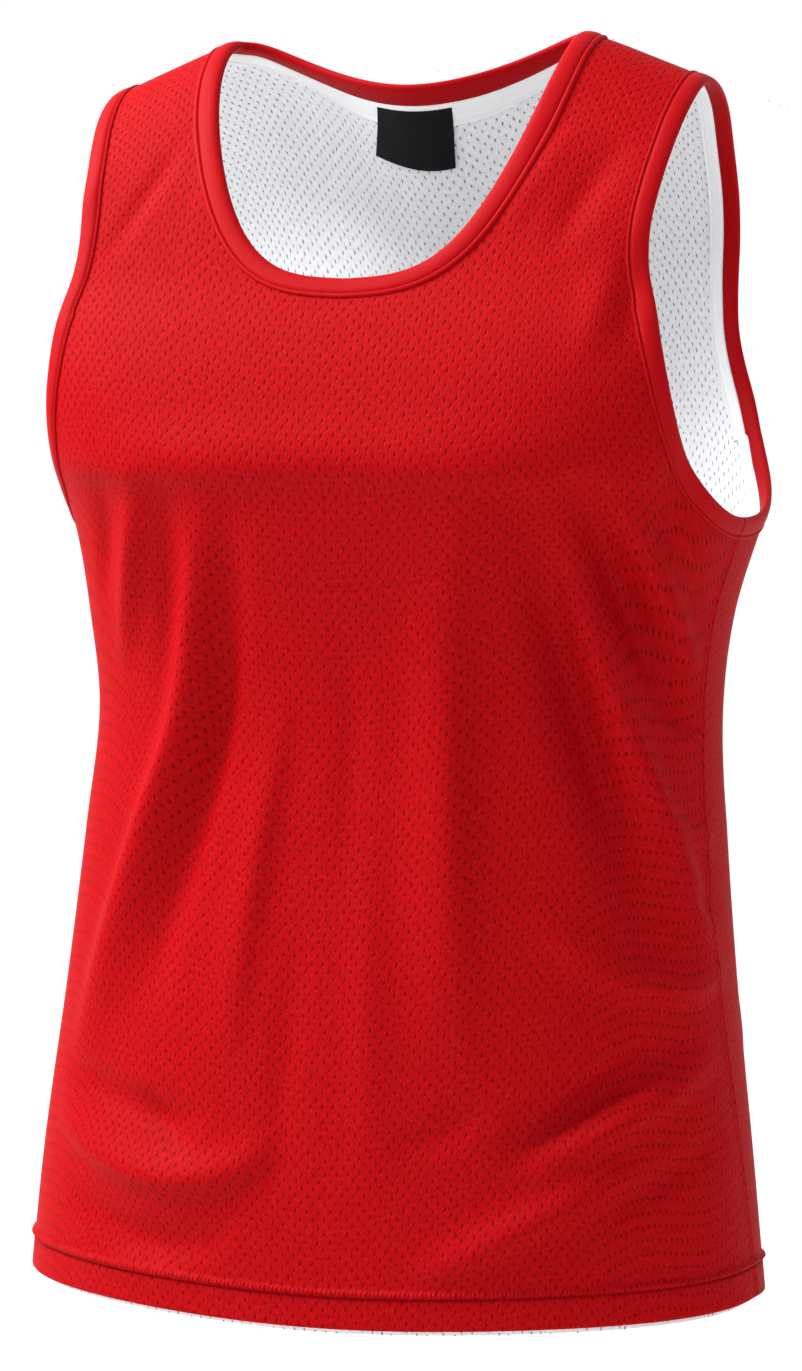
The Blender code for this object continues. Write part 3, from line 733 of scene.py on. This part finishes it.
loops = {"neck": neckLoop(), "leftArmhole": armholeLoop(True), "rightArmhole": armholeLoop(False)}
tapes = {}
for place, loop in loops.items():
    groove = 0.0 if place == "neck" else binding["seamGroove"]
    turned = place == "leftArmhole"
    narrow = place == "rightArmhole"
    profile = binding["outside"] + binding["narrowInside" if narrow else "inside"]
    tapes[place + "Binding"] = sweptTape(place + "Binding", loop, profile, binding["wall"], groove, turned)
    start = band["narrowStart" if narrow else "start"]
    profile = [(start + inward, offset) for inward, offset in band["profile"]]
    tapes[place + "Band"] = sweptTape(place + "Band", loop, profile, band["wall"], 0.0, turned)
print("bindings made", sorted(tapes))


# The woven label.

label = {
    "width": 45,
    "height": 40,
    "askew": (3, 7),          # how far off the middle it hangs at the top, and more at the bottom
    "top": 17.4,              # cloth between the neck edge and its top
    "offset": -3.7,
    "lift": 0.8,              # how its free end stands off, least in the middle
    "liftMiddle": 0.4,
    "liftSides": 2.4,
    "wall": 0.5,
    "columns": 26,
    "rows": 24,
    "lowestDrop": 0.2,        # metres
    "dropSamples": 200,
}


def labelRise(u, v):
    return label["offset"] - label["lift"] * (v**2) * (label["liftMiddle"] + label["liftSides"] * u**2)


def labelPlaces(u, v):  # u from -0.5 to 0.5 across, v from 0 at the top to 1; gives angle and drop
    drops = np.linspace(float(neckLine(panels["back"])[-1, 1]), label["lowestDrop"], label["dropSamples"])
    walked = lengthAlong(np.stack([np.full(len(drops), 180.0), drops], axis=1)) / mm
    drop = np.interp(label["top"] + v * label["height"] + 0 * u, walked, drops)
    around = np.linalg.norm(directionsAt(np.array([180.0]), np.array([drop.mean()]))[0]) / mm
    return 180 + (label["askew"][0] + label["askew"][1] * v - u * label["width"]) / around, drop


def makeLabel():
    v = np.linspace(1, 0, label["rows"] + 1)[:, None]
    u = np.linspace(-0.5, 0.5, label["columns"] + 1)[None, :]
    points = clothPoints(*labelPlaces(u, v), labelRise(u, v) * mm)
    weave = np.stack([u * label["width"] * mm + 0 * v, -v * label["height"] * mm + 0 * u], axis=-1)
    sheet = gridSheet("neckLabel", points, weave)
    giveWall(sheet, label["wall"], 0.0, 40)
    return sheet


neckLabel = makeLabel()
print("label made")


# The stitches.

stitch = {
    "thick": 0.34,
    "rise": 0.3,
    "hem": (2.7, 0.9),        # for each kind, the spacing and the gap between two
    "binding": (2.3, 0.7),
    "band": (2.3, 0.7),
    "label": (1.5, 0.5),
    "hemOut": 0.15,           # how far out from the cloth the hem's rows lie
    "innerHemOut": -4.3,
    "hemSamples": 400,
    "seamGap": 0.6,           # degrees left free at each side seam
    "bindingRow": (10.4, 1.47),                # how far in from the edge, and how far out
    "bandRows": ((8.1, -3.4), (1.4, -3.15)),   # the same, in from the edge of the band
    "labelInset": 1.6,
    "labelOut": 0.3,
    "labelSamples": 40,
}


def stitchShape():  # one stitch, a thread a millimetre long along X
    bpy.ops.mesh.primitive_uv_sphere_add(segments=6, ring_count=4, radius=0.5)
    one = bpy.context.object
    corners = np.array([vertex.co[:] for vertex in one.data.vertices])
    faces = [tuple(face.vertices) for face in one.data.polygons]
    bpy.data.objects.remove(one, do_unlink=True)
    return np.stack([corners[:, 2], corners[:, 0], corners[:, 1]], axis=1), faces


def stitchRows(name, rows):  # each row is (angle, drop, offset, spacing, gap)
    corners, faces = stitchShape()
    allCorners, allFaces, count = [], [], 0
    for angle, drop, offset, spacing, gap in rows:
        angle, drop = np.ravel(angle), np.ravel(drop)
        line = np.stack([angle, drop], axis=1)
        length = lengthAlong(line)[-1] / mm
        stops = (np.arange(int(length / spacing)) + 0.5) / int(length / spacing)
        line = placedAlong(line, stops)
        offsets = np.interp(stops, np.linspace(0, 1, np.size(offset)), np.ravel(offset))
        places = clothPoints(line[:, 0], line[:, 1], offsets * mm)
        normal = directionsAt(line[:, 0], line[:, 1])[2]
        along = np.gradient(places, axis=0)
        along /= np.linalg.norm(along, axis=1, keepdims=True)
        aside = np.cross(normal, along)
        size = np.array([spacing - gap, stitch["thick"], stitch["rise"]]) * mm
        scaled = corners * size
        made = (places[:, None] + along[:, None] * scaled[None, :, :1] + aside[:, None] * scaled[None, :, 1:2]
                + normal[:, None] * scaled[None, :, 2:])
        allCorners.append(made.reshape(-1, 3))
        for place in places:
            allFaces += [tuple(corner + count for corner in face) for face in faces]
            count += len(corners)
    data = bpy.data.meshes.new(name)
    data.from_pydata(np.concatenate(allCorners).tolist(), [], allFaces)
    piece = bpy.data.objects.new(name, data)
    bpy.context.scene.collection.objects.link(piece)
    for face in data.polygons:
        face.use_smooth = True
    return piece


def loopRow(place, inward, offset, kind):
    stations, steps = loops[place]
    line = stations + steps * inward * mm
    return (line[:, 0], line[:, 1], offset, *stitch[kind])


def hemRow(panel, up, offset, extra=0.0):
    seam = float(levelAt("seam", hem["sideHeight"] * mm)) - panel["sign"] * stitch["seamGap"]
    angles = np.linspace(2 * panel["middle"] - seam, seam, stitch["hemSamples"])
    return (angles, dropAt(angles, hemHeight(angles) + (up - extra) * mm), offset, *stitch["hem"])


def labelRow(inset):
    across, down = 0.5 - inset / label["width"], inset / label["height"]
    count = stitch["labelSamples"]
    rightwards, downwards = np.linspace(-across, across, count), np.linspace(down, 1 - down, count)
    leftwards, upwards = np.linspace(across, -across, count), np.linspace(1 - down, down, count)
    still = np.ones(count - 1)
    u = np.concatenate([rightwards, across * still, leftwards[1:], -across * still])
    v = np.concatenate([down * np.ones(count), downwards[1:], (1 - down) * still, upwards[1:]])
    return (*labelPlaces(u, v), labelRise(u, v) - stitch["labelOut"], *stitch["label"])


inAt = {place: band["narrowStart" if place == "rightArmhole" else "start"] for place in loops}
hemStitches = stitchRows("hemStitches", [
    hemRow(panels[side], hem["depth"], stitch["hemOut"]) for side in panels])
innerHemStitches = stitchRows("innerHemStitches", [
    hemRow(panels[side], hem["depth"], stitch["innerHemOut"], hem["innerExtra"]) for side in panels])
bindingStitches = stitchRows("bindingStitches", [
    loopRow(place, *stitch["bindingRow"], "binding") for place in loops])
bandStitches = stitchRows("bandStitches", [
    loopRow(place, inAt[place] + inward, offset, "band")
    for inward, offset in stitch["bandRows"] for place in loops])
labelStitches = stitchRows("labelStitches", [labelRow(stitch["labelInset"])])
print("stitches made")


# The cloths and threads.

def newMaterial(name, roughness, specular):
    made = bpy.data.materials.new(name)
    made.use_nodes = True
    shader = made.node_tree.nodes["Principled BSDF"]
    shader.inputs["Roughness"].default_value = roughness
    shader.inputs["Specular IOR Level"].default_value = specular
    return made, made.node_tree, shader


def addNode(tree, kind, **settings):
    made = tree.nodes.new(kind)
    for key, value in settings.items():
        setattr(made, key, value)
    return made


def mathNode(tree, operation, first, second=None, third=None):
    made = addNode(tree, "ShaderNodeMath", operation=operation)
    for slot, value in enumerate((first, second, third)):
        if value is None:
            continue
        if isinstance(value, (int, float)):
            made.inputs[slot].default_value = value
        else:
            tree.links.new(value, made.inputs[slot])
    return made.outputs[0]


def vectorNode(tree, operation, first, *others):
    made = addNode(tree, "ShaderNodeVectorMath", operation=operation)
    for slot, value in enumerate((first,) + others):
        if isinstance(value, tuple):
            made.inputs[slot].default_value = value
        else:
            tree.links.new(value, made.inputs[slot])
    return made.outputs["Value"] if operation == "LENGTH" else made.outputs["Vector"]


def rangeNode(tree, value, low, high, toLow=0.0, toHigh=1.0, smooth=True):
    made = addNode(tree, "ShaderNodeMapRange", interpolation_type="SMOOTHSTEP" if smooth else "LINEAR")
    tree.links.new(value, made.inputs["Value"])
    for name, number in (("From Min", low), ("From Max", high), ("To Min", toLow), ("To Max", toHigh)):
        made.inputs[name].default_value = number
    return made.outputs["Result"]


def mixNode(tree, share, first, second):
    made = addNode(tree, "ShaderNodeMix", data_type="RGBA")
    tree.links.new(share, made.inputs[0])
    for slot, value in ((6, first), (7, second)):
        if isinstance(value, tuple):
            made.inputs[slot].default_value = value
        else:
            tree.links.new(value, made.inputs[slot])
    return made.outputs[2]


def noiseNode(tree, vector, scale, detail=2.0):
    made = addNode(tree, "ShaderNodeTexNoise")
    tree.links.new(vector, made.inputs["Vector"])
    made.inputs["Scale"].default_value = scale
    made.inputs["Detail"].default_value = detail
    return made.outputs["Fac"]


def clothCoordinates(tree):  # the piece's own map, in millimetres of cloth
    uv = addNode(tree, "ShaderNodeTexCoord").outputs["UV"]
    return vectorNode(tree, "MULTIPLY", uv, (1000, 1000, 0))


def vectorComponent(tree, vector, axis):
    split = addNode(tree, "ShaderNodeSeparateXYZ")
    tree.links.new(vector, split.inputs["Vector"])
    return split.outputs[axis]


def waveNode(tree, place, axis, length):  # a sine along one direction of the cloth
    turns = mathNode(tree, "MULTIPLY", vectorComponent(tree, place, axis), 2 * math.pi / length)
    return mathNode(tree, "SINE", turns)


def addBump(tree, shader, height, strength, distance):
    made = addNode(tree, "ShaderNodeBump")
    made.inputs["Strength"].default_value = strength
    made.inputs["Distance"].default_value = distance * mm
    tree.links.new(height, made.inputs["Height"])
    tree.links.new(made.outputs["Normal"], shader.inputs["Normal"])


redLook = {
    "across": 7.0,            # spacing of the eyelets in a row, and of every other row
    "down": 8.2,
    "holeWidth": 1.0,
    "holeHeight": 2.3,
    "cloth": (0.31, 0.0018, 0.0036, 1),
    "dark": (0.25, 0.0012, 0.0026, 1),
    # the eyelets' colour is painted shade, for the shaded white layer seen through the holes
    "holeShade": (0.10, 0.0004, 0.0009, 1),
    "roughness": 0.55,
    "relief": 0.55,
}
whiteLook = {
    "across": 6.4,
    "down": 8.0,
    "holeWidth": 0.95,
    "holeHeight": 2.2,
    "cloth": (0.74, 0.75, 0.765, 1),
    "dark": (0.67, 0.68, 0.70, 1),
    # the eyelets' colour is painted shade, grey for the shaded red layer seen through the holes
    "holeShade": (0.15, 0.15, 0.17, 1),
    "roughness": 0.8,
    "relief": 0.5,
}
eyelets = {                   # how uneven they are, on both cloths
    "driftScale": 0.05,       # the rows wander slowly
    "drift": (1.6, 1.6, 0),
    "aside": (0.6, 0.7, 0),
    "turn": (-4, 20),
    "size": (0.85, 1.15),
    "ragged": 0.9,
    "edge": (0.7, 1.15),      # where the hole and its rim fade, in half holes from the middle
    "rim": (0.9, 2.0),
    # contrast: how strongly the painted shade darkens the eyelets
    "contrast": 0.9,
}
knit = {
    "wale": 1.1,
    "course": 0.9,
    "rise": 0.10,
    "speckleScale": 0.8,
    "speckleRise": 0.5,
    # glint and glintShare: where and how much painted highlight lightens the colour in specks
    "paintedGlint": (0.60, 0.74),
    "glintShare": 0.35,
    "patchScale": 0.35,
    "patch": (0.35, 0.65),
    "puckerLength": 2.7,      # on the roll above the hem stitches
    "puckerRise": 1.8,
    "puckerAbove": 1.6,
    "puckerFade": (0.6, 3.0),
    "specular": 0.02,
    "height": 0.5,
}
fineKnit = {
    "wale": 0.8,
    "course": 0.7,
    "rise": 0.25,
    "grainScale": 1.1,
    "patch": (0.35, 0.65),
    "specular": 0.03,
    "height": 0.25,
}
half = (0.5, 0.5, 0.5)


def eyeletField(tree, place, look, shift):  # distance from the nearest eyelet, in half holes
    across, down = look["across"], look["down"]
    moved = vectorNode(tree, "ADD", place, (across * shift, down * shift, 0))
    cell = vectorNode(tree, "WRAP", moved, (across / 2, down / 2, 1), (-across / 2, -down / 2, -1))
    count = vectorNode(tree, "ADD", moved, (across / 2, down / 2, 0))
    count = vectorNode(tree, "MULTIPLY", count, (1 / across, 1 / down, 0))
    count = vectorNode(tree, "ADD", vectorNode(tree, "FLOOR", count), (0.5, 0.5, shift))
    chance = addNode(tree, "ShaderNodeTexWhiteNoise", noise_dimensions="3D")
    tree.links.new(count, chance.inputs["Vector"])
    aside = vectorNode(tree, "SUBTRACT", chance.outputs["Color"], half)
    cell = vectorNode(tree, "ADD", cell, vectorNode(tree, "MULTIPLY", aside, eyelets["aside"]))
    turned = addNode(tree, "ShaderNodeVectorRotate", rotation_type="Z_AXIS")
    tree.links.new(cell, turned.inputs["Vector"])
    least, most = (math.radians(degrees) for degrees in eyelets["turn"])
    turn = rangeNode(tree, vectorComponent(tree, chance.outputs["Color"], 2), 0, 1, least, most, False)
    tree.links.new(turn, turned.inputs["Angle"])
    halfHole = (2 / look["holeWidth"], 2 / look["holeHeight"], 0)
    length = vectorNode(tree, "LENGTH", vectorNode(tree, "MULTIPLY", turned.outputs["Vector"], halfHole))
    size = rangeNode(tree, chance.outputs["Value"], 0, 1, *eyelets["size"], False)
    return mathNode(tree, "MULTIPLY", length, size)


def hemPuckers(tree, place):
    fromHem = addNode(tree, "ShaderNodeAttribute", attribute_name="fromHem").outputs["Fac"]
    ridgeAt = hem["depth"] + knit["puckerAbove"]
    onRidge = mathNode(tree, "ABSOLUTE", mathNode(tree, "SUBTRACT", fromHem, ridgeAt))
    onRidge = rangeNode(tree, onRidge, *knit["puckerFade"], 1.0, 0.0)
    puckers = mathNode(tree, "MULTIPLY", waveNode(tree, place, 0, knit["puckerLength"]), onRidge)
    return mathNode(tree, "MULTIPLY", puckers, knit["puckerRise"])


def eyeletMesh(name, look):
    made, tree, shader = newMaterial(name, look["roughness"], knit["specular"])
    place = clothCoordinates(tree)
    drift = addNode(tree, "ShaderNodeTexNoise")
    tree.links.new(place, drift.inputs["Vector"])
    drift.inputs["Scale"].default_value = eyelets["driftScale"]
    drift = vectorNode(tree, "SUBTRACT", drift.outputs["Color"], half)
    place = vectorNode(tree, "ADD", place, vectorNode(tree, "MULTIPLY", drift, eyelets["drift"]))
    fields = [eyeletField(tree, place, look, shift) for shift in (0, 0.5)]
    ragged = mathNode(tree, "SUBTRACT", noiseNode(tree, place, 0.9, 1.0), 0.5)
    field = mathNode(tree, "ADD", mathNode(tree, "MINIMUM", *fields),
                     mathNode(tree, "MULTIPLY", ragged, eyelets["ragged"]))
    # the hole mask places painted shade in the eyelets' colour; the rim below only dents the surface through
    # the bump
    holeShadeMask = rangeNode(tree, field, *eyelets["edge"], 1.0, 0.0)
    rim = rangeNode(tree, field, *eyelets["rim"], 1.0, 0.0)
    speckle = noiseNode(tree, place, knit["speckleScale"])
    # painted highlights: specks of the noise lighten the base colour, for glints on the threads
    paintedGlint = mathNode(tree, "MULTIPLY", rangeNode(tree, speckle, *knit["paintedGlint"]), knit["glintShare"])
    patches = rangeNode(tree, noiseNode(tree, place, knit["patchScale"], 3.0), *knit["patch"])
    tone = mixNode(tree, patches, look["dark"], look["cloth"])
    tone = mixNode(tree, paintedGlint, tone, tuple(min(1, shade * 1.6 + 0.02) for shade in look["cloth"]))
    # the eyelets are painted dark: painted shade for what is seen through them
    tone = mixNode(tree, mathNode(tree, "MULTIPLY", holeShadeMask, eyelets["contrast"]), tone, look["holeShade"])
    tree.links.new(tone, shader.inputs["Base Color"])
    knitted = mathNode(tree, "MULTIPLY", waveNode(tree, place, 0, knit["wale"]),
                       waveNode(tree, place, 1, knit["course"]))
    height = mathNode(tree, "ADD", mathNode(tree, "MULTIPLY", rim, -1.0),
                      mathNode(tree, "MULTIPLY", knitted, knit["rise"]))
    height = mathNode(tree, "ADD", height, mathNode(tree, "MULTIPLY", speckle, knit["speckleRise"]))
    height = mathNode(tree, "ADD", height, hemPuckers(tree, place))
    addBump(tree, shader, height, look["relief"], knit["height"])
    return made


def smoothKnit(name, cloth, clothDark, roughness, relief):
    made, tree, shader = newMaterial(name, roughness, fineKnit["specular"])
    place = clothCoordinates(tree)
    grain = noiseNode(tree, place, fineKnit["grainScale"])
    tree.links.new(mixNode(tree, rangeNode(tree, grain, *fineKnit["patch"]), clothDark, cloth),
                   shader.inputs["Base Color"])
    wales = mathNode(tree, "MULTIPLY", waveNode(tree, place, 1, fineKnit["wale"]), fineKnit["rise"])
    courses = mathNode(tree, "MULTIPLY", waveNode(tree, place, 0, fineKnit["course"]), fineKnit["rise"])
    height = mathNode(tree, "ADD", mathNode(tree, "ADD", wales, courses), grain)
    addBump(tree, shader, height, relief, fineKnit["height"])
    return made


redMesh = eyeletMesh("redMesh", redLook)
whiteMesh = eyeletMesh("whiteMesh", whiteLook)
redKnit = smoothKnit("redKnit", (0.31, 0.002, 0.004, 1), (0.27, 0.0015, 0.0035, 1), 0.5, 0.35)
whiteKnit = smoothKnit("whiteKnit", (0.77, 0.78, 0.79, 1), (0.72, 0.73, 0.74, 1), 0.75, 0.3)
blackWoven = smoothKnit("blackWoven", (0.010, 0.010, 0.011, 1), (0.005, 0.005, 0.006, 1), 0.55, 0.3)
redThread = smoothKnit("redThread", (0.42, 0.004, 0.008, 1), (0.34, 0.003, 0.006, 1), 0.45, 0.2)
whiteThread = smoothKnit("whiteThread", (0.86, 0.87, 0.88, 1), (0.80, 0.81, 0.82, 1), 0.6, 0.2)
blackThread = smoothKnit("blackThread", (0.03, 0.03, 0.032, 1), (0.02, 0.02, 0.021, 1), 0.5, 0.2)


def dress(piece, material, nodes):
    piece.data.materials.clear()
    piece.data.materials.append(material)
    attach(piece, "root")
    if nodes:
        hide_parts(*nodes)


dress(frontOuter, redMesh, ["front_outer"])
dress(backOuter, redMesh, ["back_outer"])
dress(frontInner, whiteMesh, ["front_inner"])
dress(backInner, whiteMesh, ["back_inner"])
for place, node in (("neck", "neck"), ("leftArmhole", "left_armhole"), ("rightArmhole", "right_armhole")):
    dress(tapes[place + "Binding"], redKnit, [node + "_binding"])
    dress(tapes[place + "Band"], whiteKnit, [node + "_band"])
dress(neckLabel, blackWoven, ["neck_label"])
dress(hemStitches, redThread, [])
dress(bindingStitches, redThread, [])
dress(bandStitches, whiteThread, [])
dress(innerHemStitches, whiteThread, [])
dress(labelStitches, blackThread, [])
print("pieces dressed")


# Floor, light and camera; places and sizes here are metres.

studio = {
    "floorHeight": -1.45,
    "floorSize": 30.0,
    "floorShade": (0.90, 0.90, 0.90, 1),
    "floorGlow": 0.16,
    "keyPlace": (-2.1, -0.8, 1.75),
    "keyAim": (0, 0, -0.35),
    "keySize": 1.7,
    "keyEnergy": 245,
    "worldStrength": 1.0,
    "azimuth": 22,
    "elevation": 2.6,
    "distance": 2.6,
    "target": (-0.0064, 0.0094, -0.352),
    "frameHeight": 0.776,     # seen from top to bottom of the picture at the jersey
    "sensorWidth": 36,
}
plainWhite = (1, 1, 1, 1)


def makeFloor():
    bpy.ops.mesh.primitive_plane_add(size=studio["floorSize"], location=(0, 0, studio["floorHeight"]))
    floor = bpy.context.object
    floor.name = "studioFloor"
    made, tree, shader = newMaterial("paleFloor", 0.9, 0.2)
    shader.inputs["Base Color"].default_value = studio["floorShade"]
    shader.inputs["Emission Color"].default_value = plainWhite
    shader.inputs["Emission Strength"].default_value = studio["floorGlow"]
    floor.data.materials.append(made)


def makeLight():
    bpy.ops.object.light_add(type="AREA", location=studio["keyPlace"])
    light = bpy.context.object
    light.name = "keyLight"
    light.data.energy = studio["keyEnergy"]
    light.data.size = studio["keySize"]
    aim = Vector(studio["keyAim"]) - Vector(studio["keyPlace"])
    light.rotation_euler = aim.to_track_quat("-Z", "Y").to_euler()


def makeWorld():
    world = bpy.data.worlds.new("studioWorld")
    bpy.context.scene.world = world
    world.use_nodes = True
    background = world.node_tree.nodes["Background"]
    background.inputs["Color"].default_value = plainWhite
    background.inputs["Strength"].default_value = studio["worldStrength"]
    bpy.context.scene.view_settings.view_transform = "Standard"


def makeCamera():
    azimuth, elevation = math.radians(studio["azimuth"]), math.radians(studio["elevation"])
    back = Vector((math.sin(azimuth) * math.cos(elevation), -math.cos(azimuth) * math.cos(elevation),
                   math.sin(elevation)))
    bpy.ops.object.camera_add(location=Vector(studio["target"]) + back * studio["distance"])
    camera = bpy.context.object
    camera.name = "photoCamera"
    camera.rotation_euler = back.to_track_quat("Z", "Y").to_euler()
    camera.data.sensor_width = studio["sensorWidth"]
    camera.data.lens = studio["sensorWidth"] * studio["distance"] / studio["frameHeight"]
    bpy.context.scene.camera = camera


makeFloor()
makeLight()
makeWorld()
makeCamera()
print("studio made")
